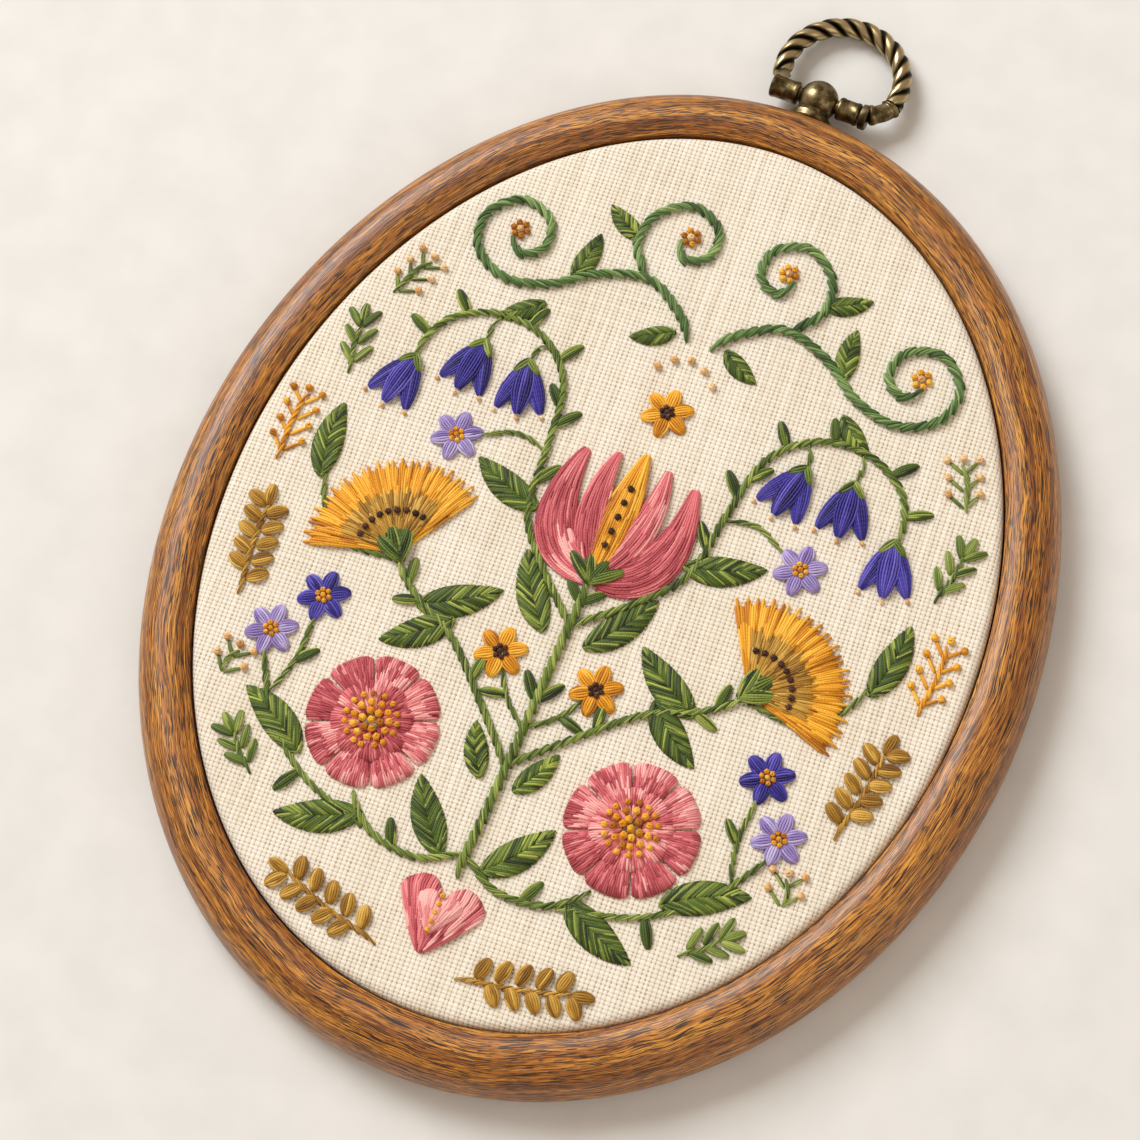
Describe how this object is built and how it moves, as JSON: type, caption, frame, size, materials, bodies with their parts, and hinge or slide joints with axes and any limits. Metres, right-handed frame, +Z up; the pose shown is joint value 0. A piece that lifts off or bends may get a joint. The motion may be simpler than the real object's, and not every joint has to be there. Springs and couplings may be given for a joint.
{
  "type": "embroidered linen in oval wooden hoop with hanging ring",
  "caption": "Oval wooden hoop holding stretched linen with raised stitched flowers, lying on its flat back, with a twisted metal hanging ring.",
  "frame": {"origin": "middle of the footprint of hoop and hanging ring, on the surface the hoop lies on", "axes": "+Y along the oval's long side to the hanging ring, +Z up out of the stitched face"},
  "size_m": [0.174, 0.2366, 0.0125],
  "materials": {
    "brown_oak": "satin varnish over open grain",
    "inner_hoop_wood": "sanded, bare",
    "linen": "plain weave, with cotton thread embroidery",
    "antique_brass": "aged, dark in the hollows"
  },
  "bodies": {
    "root": {"outer_hoop": "brown_oak", "inner_hoop": "inner_hoop_wood", "linen": "linen", "collar": "antique_brass", "ball_knuckle": "antique_brass", "left_barrel": "antique_brass", "right_barrel": "antique_brass", "end_cap": "antique_brass", "ferrule": "antique_brass", "hanging_ring": "antique_brass"}
  },
  "joints": []
}
